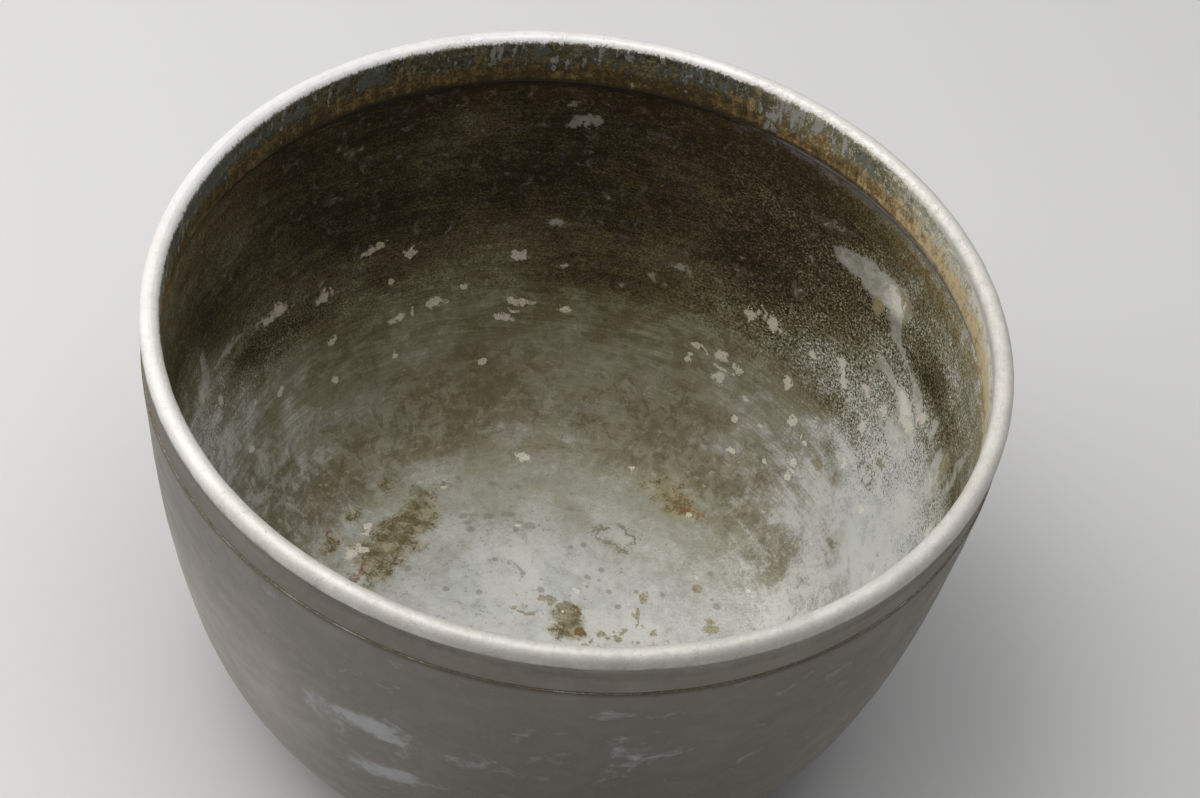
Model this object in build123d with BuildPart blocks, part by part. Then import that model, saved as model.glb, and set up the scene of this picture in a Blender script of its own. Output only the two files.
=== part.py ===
from build123d import *
import os
from math import cos, radians, sin

# Kensui, the waste water bowl of a tea set: a deep tin bowl with a soldered rim.
# Millimetres, +Z up, origin at the centre of the flat base.

# The whole bowl
mouth_diameter = 150.0
base_diameter = 84.0
height = 90.0

# The shell: one full curve from the joint under the rim down to the base
shell_wall = 2.5
shoulder_set_in = 0.4  # the shell's top edge stands this far inside the lip
shoulder_round = 0.25
wall_lean = 4.8  # degrees off upright at the top edge
wall_fullness = 0.8  # share of the shell's height over which the side stays steep
foot_rise = 8.0  # degrees up from the table at the base's edge
foot_fullness = 0.37  # share of the overhang over which the underside stays low

# The rim ring: half-round lip, cove under it outside, straight band inside
rim_height = 10.4
rim_wall = 3.6
lip_depth = 2.8
cove_height = 3.4
cove_depth = 1.1
strip_set_in = 0.7

# The joint: the ring's skirt drops inside a tongue on the shell's edge
lap_depth = 1.2
tongue_wall = 1.1
solder_gap = 0.2
bead_height = 1.4  # how far the solder shows down the wall, under the ring
bead_set_back = 0.25  # from the ring's bore to the face of that solder

# Places worked out from the sizes above
mouth_radius = mouth_diameter / 2
base_radius = base_diameter / 2
bore_radius = mouth_radius - rim_wall
lip_radius = rim_wall / 2
strip_radius = mouth_radius - strip_set_in
shoulder_radius = mouth_radius - shoulder_set_in
tongue_radius = shoulder_radius - tongue_wall
skirt_radius = tongue_radius - solder_gap

skirt_z = height - rim_height
ring_seat_z = skirt_z + lap_depth
lap_seat_z = skirt_z - solder_gap
shoulder_z = ring_seat_z - solder_gap

os.makedirs("parts", exist_ok=True)

# Shell: the outer curve turned about the bowl's axis, then hollowed to one wall.
side_pull = wall_fullness * shoulder_z
side_point = (
    shoulder_radius - side_pull * sin(radians(wall_lean)),
    shoulder_z - side_pull * cos(radians(wall_lean)),
)
foot_pull = foot_fullness * (shoulder_radius - base_radius)
foot_point = (
    base_radius + foot_pull * cos(radians(foot_rise)),
    foot_pull * sin(radians(foot_rise)),
)
with BuildPart() as bowl_shell:
    with BuildSketch(Plane.XZ):
        with BuildLine():
            Bezier((shoulder_radius, shoulder_z), side_point, foot_point, (base_radius, 0))
            Polyline(
                (base_radius, 0),
                (0, 0),
                (0, shoulder_z),
                (shoulder_radius, shoulder_z),
            )
        make_face()
    revolve(axis=Axis.Z)
    offset(amount=-shell_wall, openings=bowl_shell.faces().sort_by(Axis.Z)[-1])
    # The top edge is rebated inside, which leaves the tongue.
    with BuildSketch(Plane.XY.offset(lap_seat_z)):
        Circle(tongue_radius)
    extrude(amount=shoulder_z, mode=Mode.SUBTRACT)
    outer_corner = bowl_shell.edges().group_by(Axis.Z)[-1].sort_by(SortBy.RADIUS)[-1]
    fillet(outer_corner, radius=shoulder_round)
bowl_shell.part.label = "bowl_shell"

# Rim ring: one section turned about the axis, from the lip down to the skirt.
with BuildPart() as rim_ring:
    with BuildSketch(Plane.XZ):
        with BuildLine():
            ThreePointArc(
                (bore_radius, height - lip_radius),
                (mouth_radius - lip_radius, height),
                (mouth_radius, height - lip_radius),
            )
            Line((mouth_radius, height - lip_radius), (mouth_radius, height - lip_depth))
            ThreePointArc(
                (mouth_radius, height - lip_depth),
                (mouth_radius - cove_depth, height - lip_depth - cove_height / 2),
                (strip_radius, height - lip_depth - cove_height),
            )
            Polyline(
                (strip_radius, height - lip_depth - cove_height),
                (strip_radius, ring_seat_z),
                (skirt_radius, ring_seat_z),
                (skirt_radius, skirt_z),
                (bore_radius, skirt_z),
                (bore_radius, height - lip_radius),
            )
        make_face()
    revolve(axis=Axis.Z)
rim_ring.part.label = "rim_ring"

# Solder: it fills the step between the ring and the shell, and stands in a low
# bead on the wall inside, right under the ring's skirt.
bead_radius = bore_radius + bead_set_back
with BuildPart() as rim_solder:
    with BuildSketch(Plane.XZ):
        with BuildLine():
            Polyline(
                (bead_radius, skirt_z),
                (bead_radius, skirt_z - bead_height),
                (tongue_radius, skirt_z - bead_height),
                (tongue_radius, shoulder_z),
                (strip_radius, shoulder_z),
                (strip_radius, ring_seat_z),
                (skirt_radius, ring_seat_z),
                close=True,
            )
        make_face()
    revolve(axis=Axis.Z)
    add(bowl_shell.part, mode=Mode.SUBTRACT)
    add(rim_ring.part, mode=Mode.SUBTRACT)
rim_solder.part.label = "rim_solder"

for piece in (bowl_shell, rim_ring, rim_solder):
    export_step(piece.part, f"parts/{piece.part.label}.step")
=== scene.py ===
import math

import bmesh
import bpy
import numpy as np
from mathutils import Matrix, Vector


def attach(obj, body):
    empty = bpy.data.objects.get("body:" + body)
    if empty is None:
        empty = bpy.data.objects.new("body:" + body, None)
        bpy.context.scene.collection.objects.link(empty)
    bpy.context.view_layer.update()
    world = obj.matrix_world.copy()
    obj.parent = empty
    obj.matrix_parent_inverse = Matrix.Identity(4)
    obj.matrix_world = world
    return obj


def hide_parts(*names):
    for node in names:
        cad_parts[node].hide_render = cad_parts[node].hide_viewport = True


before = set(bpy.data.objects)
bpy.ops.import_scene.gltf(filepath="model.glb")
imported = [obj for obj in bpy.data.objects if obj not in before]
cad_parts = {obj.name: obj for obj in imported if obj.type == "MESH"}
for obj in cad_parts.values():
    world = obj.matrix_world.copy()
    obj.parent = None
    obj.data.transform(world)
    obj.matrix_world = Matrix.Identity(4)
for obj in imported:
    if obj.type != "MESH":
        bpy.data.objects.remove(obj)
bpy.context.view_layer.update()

# The studio: a pale floor, large soft lights overhead, high on the left and low on the left,
# and weak pale light from all round. The camera looks down over the lip.
MM = 0.001
bpy.ops.object.select_all(action="DESELECT")

camera_tilt = math.radians(43.663)
camera_roll = math.radians(9.277)
camera_turn = Matrix.Rotation(camera_tilt, 4, "X") @ Matrix.Rotation(camera_roll, 4, "Z")
bpy.ops.object.camera_add(
    location=(5.299 * MM, -398.58 * MM, 487.752 * MM), rotation=camera_turn.to_euler()
)
camera = bpy.context.object
camera.name = "camera"
camera.data.lens = 99
camera.data.sensor_width = 36
bpy.context.scene.camera = camera
bpy.context.scene.view_settings.view_transform = "Standard"
bpy.context.scene.view_settings.look = "None"

def soft_light(name, place, size, watts):
    """A square soft box that faces the bowl."""
    aim = Vector((0, 0, 0.04)) - Vector(place)
    bpy.ops.object.light_add(
        type="AREA", location=place, rotation=aim.to_track_quat("-Z", "Y").to_euler()
    )
    light = bpy.context.object
    light.name = name
    light.data.size = size
    light.data.energy = watts


soft_light("overhead_light", (0, 0, 0.95), 0.8, 5)
soft_light("high_left_light", (-0.45, 0, 0.85), 0.8, 6)
soft_light("low_left_light", (-0.85, 0.05, 0.4), 0.6, 3)

room = bpy.data.worlds.new("pale_room")
room.use_nodes = True
room.node_tree.nodes["Background"].inputs["Color"].default_value = (0.95, 0.96, 1.0, 1)
room.node_tree.nodes["Background"].inputs["Strength"].default_value = 0.3
bpy.context.scene.world = room

bpy.ops.mesh.primitive_plane_add(size=5, location=(0, 0, -0.1 * MM))
floor = bpy.context.object
floor.name = "pale_floor"
bpy.ops.object.transform_apply(location=True, rotation=True, scale=True)
paper = bpy.data.materials.new("pale_paper")
paper.use_nodes = True
paper_shader = paper.node_tree.nodes["Principled BSDF"]
paper_shader.inputs["Base Color"].default_value = (0.52, 0.515, 0.505, 1)
paper_shader.inputs["Roughness"].default_value = 0.85
floor.data.materials.append(paper)


# The shell: wall and bottom in one, turned from cast tin about 2.5 mm thick. Its top
# edge is cut to an outer tongue, which laps round the skirt of the rim ring.
def pick(piece, kind, passes):
    """Selects just the vertices, edges or faces that pass the test."""
    bpy.ops.mesh.select_mode(type=kind)
    bpy.ops.mesh.select_all(action="DESELECT")
    shape = bmesh.from_edit_mesh(piece.data)
    for part in {"VERT": shape.verts, "EDGE": shape.edges, "FACE": shape.faces}[kind]:
        if passes(part):
            part.select_set(True)
    bmesh.update_edit_mesh(piece.data)


def radius_of(point):
    return math.hypot(point.x, point.y)


def lathe(piece, steps):
    """Turns a profile that lies in the XZ plane about the bowl's axis into a closed skin."""
    bpy.ops.mesh.select_all(action="SELECT")
    bpy.ops.mesh.spin(steps=steps, angle=2 * math.pi, center=(0, 0, 0), axis=(0, 0, 1))
    bpy.ops.mesh.select_all(action="SELECT")
    bpy.ops.mesh.remove_doubles(threshold=0.001 * MM)
    bpy.ops.mesh.normals_make_consistent(inside=False)


shell_wall = 2.5 * MM
base_radius = 42.0 * MM
shoulder_radius = 74.6 * MM
shoulder_z = 80.6 * MM
tongue_radius = 73.5 * MM
lap_seat_z = 79.4 * MM
side_handle = (69.204 * MM, 0, 16.346 * MM)
foot_handle = (53.945 * MM, 0, 1.679 * MM)

bpy.ops.curve.primitive_bezier_curve_add(location=(0, 0, 0))
bowl = bpy.context.object
bowl.name = "bowl"
bowl.data.name = "bowl"
bowl.data.resolution_u = 92
top_end, foot_end = bowl.data.splines[0].bezier_points
for end in (top_end, foot_end):
    end.handle_left_type = "FREE"
    end.handle_right_type = "FREE"
top_end.co = (shoulder_radius, 0, shoulder_z)
top_end.handle_left = top_end.co
top_end.handle_right = side_handle
foot_end.co = (base_radius, 0, 0)
foot_end.handle_left = foot_handle
foot_end.handle_right = foot_end.co
bpy.ops.object.convert(target="MESH")

bpy.ops.object.mode_set(mode="EDIT")
bpy.ops.mesh.select_all(action="SELECT")
bpy.ops.mesh.bisect(plane_co=(0, 0, lap_seat_z), plane_no=(0, 0, 1), clear_outer=True)
pick(bowl, "EDGE", lambda e: e.calc_length() > 1.3 * MM)
bpy.ops.mesh.subdivide(number_cuts=1)
pick(bowl, "VERT", lambda v: v.co.z < 0.001 * MM)
bpy.ops.mesh.extrude_region_move(TRANSFORM_OT_translate={"value": (-base_radius, 0, 0)})
pick(bowl, "EDGE", lambda e: e.calc_length() > 0.9 * base_radius)
bpy.ops.mesh.subdivide(number_cuts=27)
lathe(bowl, steps=320)
bpy.ops.object.mode_set(mode="OBJECT")
if min(bowl.data.polygons, key=lambda f: f.center.z).normal.z > 0:
    bpy.ops.object.mode_set(mode="EDIT")
    bpy.ops.mesh.select_all(action="SELECT")
    bpy.ops.mesh.flip_normals()
    bpy.ops.object.mode_set(mode="OBJECT")

bpy.ops.object.modifier_add(type="SOLIDIFY")
wall = bowl.modifiers[-1]
wall.thickness = shell_wall
wall.offset = -1
wall.use_even_offset = True
wall.shell_vertex_group = bowl.vertex_groups.new(name="inside").name
bpy.ops.object.modifier_apply(modifier=wall.name)

bpy.ops.object.mode_set(mode="EDIT")
pick(bowl, "VERT", lambda v: v.co.z > lap_seat_z - 0.1 * MM)
bpy.ops.transform.resize(value=(1, 1, 0), center_override=(0, 0, lap_seat_z))
pick(
    bowl,
    "EDGE",
    lambda e: min(v.co.z for v in e.verts) > lap_seat_z - 0.1 * MM
    and abs(radius_of(e.verts[0].co) - radius_of(e.verts[1].co)) > 1 * MM,
)
bpy.ops.mesh.subdivide(number_cuts=1)
pick(
    bowl,
    "VERT",
    lambda v: v.co.z > lap_seat_z - 0.1 * MM and 72.5 * MM < radius_of(v.co) < 74 * MM,
)
middle = next(v for v in bmesh.from_edit_mesh(bowl.data).verts if v.select)
grow = tongue_radius / radius_of(middle.co)
bpy.ops.transform.resize(value=(grow, grow, 1), center_override=(0, 0, 0))
pick(
    bowl,
    "FACE",
    lambda f: f.calc_center_median().z > lap_seat_z - 0.1 * MM
    and radius_of(f.calc_center_median()) > tongue_radius,
)
bpy.ops.mesh.extrude_region_move(
    TRANSFORM_OT_translate={"value": (0, 0, shoulder_z - lap_seat_z)}
)
pick(
    bowl,
    "EDGE",
    lambda e: min(v.co.z for v in e.verts) > shoulder_z - 0.1 * MM
    and min(radius_of(v.co) for v in e.verts) > 74 * MM,
)
corner = next(v for v in bmesh.from_edit_mesh(bowl.data).verts if v.select)
grow = shoulder_radius / radius_of(corner.co)
bpy.ops.transform.resize(value=(grow, grow, 1), center_override=(0, 0, 0))
bpy.ops.mesh.bevel(offset=0.3 * MM, segments=3, affect="EDGES")
bpy.ops.object.mode_set(mode="OBJECT")
bpy.ops.object.shade_smooth_by_angle(angle=math.radians(35))


def places(piece):
    """Every vertex of the piece, in millimetres, as rows x, y, z."""
    flat = np.empty(len(piece.data.vertices) * 3)
    piece.data.vertices.foreach_get("co", flat)
    return flat.reshape(-1, 3).T / MM


def dent(piece, share, lump, depth):
    """Sinks shallow hollows into the skin, by the share of each vertex. Sizes in mm."""
    hollows = piece.vertex_groups.new(name="hollows")
    tenths = np.round(np.clip(share, 0, 1) * 10).astype(int)
    for tenth in range(1, 11):
        chosen = np.flatnonzero(tenths == tenth).tolist()
        hollows.add(chosen, tenth / 10, "REPLACE")
    lumps = bpy.data.textures.new(piece.name + "_lumps", "CLOUDS")
    lumps.noise_scale = lump * MM
    lumps.noise_depth = 2
    bpy.ops.object.modifier_add(type="DISPLACE")
    sink = piece.modifiers[-1]
    sink.texture = lumps
    sink.texture_coords = "LOCAL"
    sink.vertex_group = "hollows"
    sink.mid_level = 1
    sink.strength = depth * MM
    bpy.ops.object.modifier_apply(modifier=sink.name)


def paint(piece, name, values):
    """Keeps one value or one vector per vertex on the mesh, for the finish to read."""
    kind, key = ("FLOAT_VECTOR", "vector") if values.ndim == 2 else ("FLOAT", "value")
    layer = piece.data.attributes.new(name, kind, "POINT")
    layer.data.foreach_set(key, values.astype(np.float32).ravel())


group = bowl.vertex_groups["inside"].index
inside = np.array([any(g.group == group for g in v.groups) for v in bowl.data.vertices])
x, y, z = places(bowl)
reach = np.hypot(x, y)
dent(bowl, np.where(inside & (reach < 72.5), (78.5 - z) / 3, np.minimum(78 - z, z - 4) / 4), 9, 0.3)
x, y, z = places(bowl)
reach = np.hypot(x, y)
heading = np.degrees(np.arctan2(y, x))

# How far down the wall a point lies, in mm from the lip, along the inner surface and on
# over the bottom to its centre. A row of the lathe work is read from one side.
row = inside & (np.abs(heading) < 0.2) & (x > 0) & (reach < 73)
row_key = (z + reach)[row]
order = np.argsort(-row_key)
row_key = row_key[order]
row_steps = np.hypot(np.diff(reach[row][order]), np.diff(z[row][order]))
row_down = 9.2 + np.concatenate(([0], np.cumsum(row_steps)))
down = np.where(inside, np.interp(-(z + reach), -row_key, row_down), 88.2 - z)


def spot(angle, depth, wide, tall, turn=0):
    """Offsets from a spot on the wall, in its own half widths, as two arrays."""
    across = np.radians((heading - angle + 180) % 360 - 180) * np.maximum(reach, 4)
    along = down - depth
    c = math.cos(math.radians(turn))
    k = math.sin(math.radians(turn))
    return (across * c + along * k) / wide, (along * c - across * k) / tall


def soft(angle, depth, wide, tall, turn=0):
    """A soft round patch, 1 at its middle."""
    u, v = spot(angle, depth, wide, tall, turn)
    return np.exp(-(u * u + v * v))


def marks(spots):
    """Offset from the nearest of the spots, and how far off that is."""
    nearest = np.full((3, len(down)), 99.0)
    for place in spots:
        u, v = spot(*place)
        far = np.hypot(u, v)
        nearer = inside & (far < nearest[2])
        nearest[:, nearer] = np.stack((u, v, far))[:, nearer]
    return np.minimum(nearest, 99).T


# Smoke-dark staining: heavy in a belt below the rim, lighter down the wall, and paler on
# the two flanks than at the back.
back_tone = np.interp(
    down,
    (9, 14, 22, 32, 39, 44, 50, 56, 62, 74, 84, 91, 97, 104, 118, 140),
    (0.90, 0.93, 0.89, 0.92, 0.88, 0.77, 0.68, 0.58, 0.52, 0.48, 0.46, 0.40, 0.33, 0.27, 0.18, 0.14),
)
flank_tone = np.interp(
    down,
    (9, 12, 16, 24, 30, 34, 42, 50, 60, 76, 86, 98, 110, 140),
    (0.22, 0.28, 0.46, 0.56, 0.66, 0.42, 0.23, 0.05, 0.02, 0.06, 0.16, 0.22, 0.18, 0.15),
)
back_share = np.interp(
    heading % 360,
    (0, 18, 32, 45, 62, 80, 140, 156, 168, 178, 230, 280, 330, 360),
    (0.0, 0.0, 0.32, 0.62, 0.97, 1.03, 1.0, 0.82, 0.55, 0.3, 0.4, 0.45, 0.1, 0.0),
)
smoke_and_shade = flank_tone + (back_tone - flank_tone) * back_share
smoke_and_shade += 0.14 * soft(90, 53, 11, 4) + 0.16 * soft(127, 51, 6, 2.5) + 0.12 * soft(60, 40, 8, 7)
smoke_and_shade += 0.26 * soft(157, 50, 7, 3.4) + 0.24 * soft(145, 51.5, 7, 3.4) + 0.2 * soft(165, 34, 8, 7)
smoke_and_shade += 0.26 * soft(40, 54.5, 9, 2.4, 14) + 0.30 * soft(22, 27, 7, 4, 8) + 0.30 * soft(37, 62, 1.8, 1.8)
smoke_and_shade += 0.3 * soft(33, 56, 3, 2) + 0.03 * soft(29, 86, 4, 4) + 0.14 * soft(113, 73.5, 4, 3)
smoke_and_shade += 0.11 * soft(76, 52, 10, 4) - 0.09 * soft(55, 79, 10, 6) - 0.08 * soft(33, 82, 8, 6)
smoke_and_shade -= 0.10 * soft(112, 20, 14, 6) + 0.14 * soft(155, 22, 12, 16) + 0.10 * soft(97, 42, 3, 1.6)
smoke_and_shade -= 0.10 * soft(103, 47, 8, 3) + 0.10 * soft(48, 47, 9, 3, 10) + 0.08 * soft(157, 66, 12, 12)
smoke_and_shade -= 0.13 * soft(155, 84, 12, 12) + 0.08 * soft(33, 66, 12, 12) - 0.08 * soft(45, 92, 14, 5)
smoke_and_shade -= 0.45 * soft(36.3, 24, 3.4, 2.6) + 0.3 * soft(26, 38.8, 3, 2) + 0.2 * soft(17, 21, 8, 4)
# Outside, the tone by heading is partly the tin's own staining and partly painted light and shade: lower
# down the wall it is painted lighter on the left and darker where it faces the front.
near_top = np.interp(
    heading,
    (-180, -160, -142, -127, -110, -90, -60, -37, 0, 60, 180),
    (0.74, 0.72, 0.58, 0.53, 0.58, 0.62, 0.60, 0.60, 0.55, 0.5, 0.74),
)
near_foot = np.interp(
    heading,
    (-180, -160, -142, -127, -110, -90, -70, -52, -37, 0, 60, 180),
    (0.36, 0.34, 0.24, 0.28, 0.56, 0.76, 0.84, 0.64, 0.44, 0.5, 0.6, 0.36),
)
outer_tone_and_shade = near_top + (near_foot - near_top) * np.interp(down, (10, 46), (0, 1))
outer_tone_and_shade += 0.4 * np.exp(-(((z - 80.5) / 0.4) ** 2))
outer_tone_and_shade += (0.6 - outer_tone_and_shade) * np.interp(reach, (20, 44), (1, 0))
smoke_and_shade = np.where(inside, smoke_and_shade, outer_tone_and_shade)
paint(bowl, "smoke_and_shade", smoke_and_shade)
paint(bowl, "down", down)
paint(bowl, "inner", inside.astype(float))

# Where the staining has broken up into pale and black grains
gritty_belt = np.interp(heading % 360, (10, 24, 40, 60, 76, 200), (0.6, 1, 1, 0.8, 0, 0))
gritty = 0.8 + 1.6 * gritty_belt * np.interp(down, (14, 24, 50, 58), (0.2, 1, 1, 0))
gritty += 0.9 * soft(150, 51, 14, 6) + 0.2 * soft(105, 35, 40, 14) + 1.2 * soft(24, 57, 16, 10)
gritty_right = np.interp(heading % 360, (20, 42, 54, 330, 360), (0.6, 0.45, 0.3, 0.3, 0.6))
gritty_low = gritty_right * np.interp(down, (88, 98), (1, 0.45))
gritty *= np.maximum(np.interp(down, (54, 64), (1, 0)), gritty_low)
paint(bowl, "gritty", gritty)

round_soil = np.interp(
    heading % 360,
    (0, 25, 50, 62, 150, 178, 200, 340, 360),
    (0.15, 0.3, 0.75, 1, 1, 0.9, 0.8, 0.2, 0.15),
)
olive = np.interp(down, (58, 66, 74, 86, 91, 97), (-0.3, 0.1, 0.75, 0.95, 0.45, -0.4)) * round_soil
olive += 0.5 * soft(112, 74, 4, 4) + 0.6 * soft(77, 80, 5, 4) + 0.6 * soft(69, 78, 4, 3)
olive += 0.7 * soft(116, 83, 5, 3) + 0.5 * soft(76.5, 88, 3.5, 2.4) + 0.5 * soft(76.5, 93, 2.4, 2)
olive += 0.6 * soft(137, 92, 3, 2) + 0.5 * soft(122.8, 97, 2, 1.4) + 0.7 * soft(46.5, 76.5, 3.4, 1.5)
olive += 0.8 * soft(22.8, 72, 2, 3.4) + 0.7 * soft(33, 65, 3, 2.6) + 0.7 * soft(36.5, 90, 3, 1.4, 30)
olive += 0.5 * soft(29, 86, 4, 4) + 0.4 * soft(148, 84, 8, 7)
paint(bowl, "olive", np.where(inside, olive, -1))

ochre = np.interp(down, (9, 10, 14, 18, 22), (0.8, 0.85, 0.6, 0.35, -0.4))
ochre *= np.interp(
    heading % 360,
    (0, 20, 55, 80, 140, 178, 240, 330, 360),
    (0.9, 1, 0.95, 0.75, 0.65, 0.95, 0.6, 0.7, 0.9),
)
ochre += 1.4 * soft(61.5, 91.3, 6.5, 3.8) + 0.7 * soft(56, 92.5, 4, 2.6) + 0.45 * soft(97, 91, 12, 3)
ochre += 0.45 * soft(40, 93, 8, 4) + 0.4 * soft(18, 85, 3.4, 9) + 0.5 * soft(42, 102, 6, 2.4)
ochre += 0.4 * soft(33, 47, 6, 4) + 0.5 * soft(65.5, 106.8, 5, 3.4) + 0.5 * soft(27, 94, 6, 3)
paint(bowl, "ochre", np.where(inside, ochre, -1))

# Brown stains dried on the bottom, and the rust at their edges
mire = 0.45 * soft(61.5, 91.4, 5.5, 3.4) + 0.6 * soft(65, 91.2, 3, 2) + 0.8 * soft(57, 92.6, 3, 1.8)
mire += 1.3 * soft(156, 103.4, 6, 3.2) + 1.2 * soft(146, 102.6, 5.5, 2.6) + 1.1 * soft(138, 102, 4, 2.8)
mire += 1.0 * soft(130.5, 97.6, 2.4, 2.6) + 0.9 * soft(135, 100.4, 3, 2) + 1.0 * soft(160.8, 94, 2.6, 1.8)
mire += 0.9 * soft(149.5, 93.2, 2.4, 1.2) + 0.9 * soft(143.2, 107.8, 1.6, 0.9)
mire += 0.7 * soft(122.8, 97, 1.4, 0.9) + 0.6 * soft(137.5, 92.2, 2, 1.4)
mire += 1.6 * soft(50, 128.6, 2.6, 1.9) + 1.5 * soft(32, 130.4, 2.2, 2.4) + 1.1 * soft(18, 130, 1.6, 1.4)
mire += 0.9 * soft(34, 133.8, 1.6, 1) + 0.8 * soft(285, 104, 3.6, 2, -20)
mire += 0.8 * soft(200, 112, 3.2, 1.8, 30)
paint(bowl, "mire", np.where(inside, mire, 0))
rust = 1.2 * soft(167.5, 101.8, 2, 1.1) + 0.9 * soft(162, 102.2, 1.8, 0.9)
rust += 0.9 * soft(55, 92.6, 1.6, 1.0)
rust += 1.0 * soft(51.6, 91.8, 1.4, 0.8) + 1.0 * soft(17, 129.6, 1.4, 1.2)
rust += 0.6 * soft(48, 127.2, 1.6, 0.9) + 0.8 * soft(158.8, 87.2, 1.2, 0.8)
rust += 0.7 * soft(138, 99.6, 1.6, 0.6) + 0.6 * soft(15, 103.5, 1.2, 1.2) + 0.3 * soft(60, 92, 4, 1.6)
paint(bowl, "rust", np.where(inside, rust, 0))

# Chalky grey patches where the staining has flaked off. Outside, pale scuffs.
bloom = -0.45 - 0.3 * soft(108, 28, 60, 26)
bloom += 2.8 * soft(42.5, 24.6, 5.6, 3.1) + 1.8 * soft(48.5, 25.4, 3.2, 2)
bloom += 2.4 * soft(36.3, 24.2, 4.2, 2.9) + 1.4 * soft(34.5, 29.5, 1.6, 2.4)
bloom += 1.7 * soft(30.5, 31.6, 5.5, 1.3, -18) + 1.7 * soft(23.5, 35, 3.5, 1.8, -25)
bloom += 1.8 * soft(33, 37.6, 4.5, 1.2, -10) + 1.9 * soft(26.5, 38.5, 3, 2, -20)
bloom += 1.6 * soft(22, 41, 3.5, 1.6, -30) + 1.7 * soft(17, 32.8, 1.5, 3) + 1.6 * soft(10.5, 38, 3.2, 6.5)
bloom += 1.2 * soft(4, 30, 2.4, 9) + 1.5 * soft(24, 46, 5, 2.6) + 1.4 * soft(14, 51, 3.6, 4)
bloom += 1.7 * soft(97.6, 42, 2.6, 1.2) + 1.6 * soft(75.4, 46.4, 2.8, 1.1, 8)
bloom += 2.0 * soft(94.5, 18, 4.4, 2, 14) + 1.6 * soft(97, 14.6, 1.6, 0.9)
bloom += 1.3 * soft(162, 43.8, 8, 1.2) + 1.7 * soft(169.5, 39.2, 1.3, 3.2) + 1.5 * soft(171.5, 45, 4, 3.2)
bloom += 1.3 * soft(148.3, 45.8, 2.2, 1.6) + 1.1 * soft(153, 45.4, 3, 1.1)
bloom += 0.3 * soft(30, 48, 26, 12)
scuff = np.full(len(down), -0.5)
scuff += 1.5 * soft(-106.5, 33, 5, 3.2) + 1.2 * soft(-112, 32.4, 6, 2.6) + 1.0 * soft(-118, 33, 3, 4.2)
scuff += 1.1 * soft(-115.5, 38.5, 4.5, 4.4) + 1.6 * soft(-110, 48.2, 5, 3)
scuff += 1.6 * soft(-104.5, 45, 5, 3.4)
scuff += 0.55 * soft(-99, 34, 3, 2.4) + 0.5 * soft(-94, 33.5, 3, 2.4) + 0.7 * soft(-79, 12.5, 3.4, 1.5)
scuff += 0.6 * soft(-72, 26, 6, 4) + 1.0 * soft(60, 30, 9, 4) + 1.0 * soft(150, 45, 6, 7)
paint(bowl, "bloom", np.where(inside, bloom, scuff))

# Purple-grey solder smeared on the wall under the bead, on the right only
smear = np.interp(down, (9.2, 10.0, 11.2, 12.6), (0.5, 0.8, 0.7, -0.3))
smear *= np.interp(heading % 360, (10, 20, 60, 68, 74, 300), (0.0, 0.9, 1, 0.6, 0, 0))
paint(bowl, "lead", np.where(inside, smear, -1))

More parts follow.
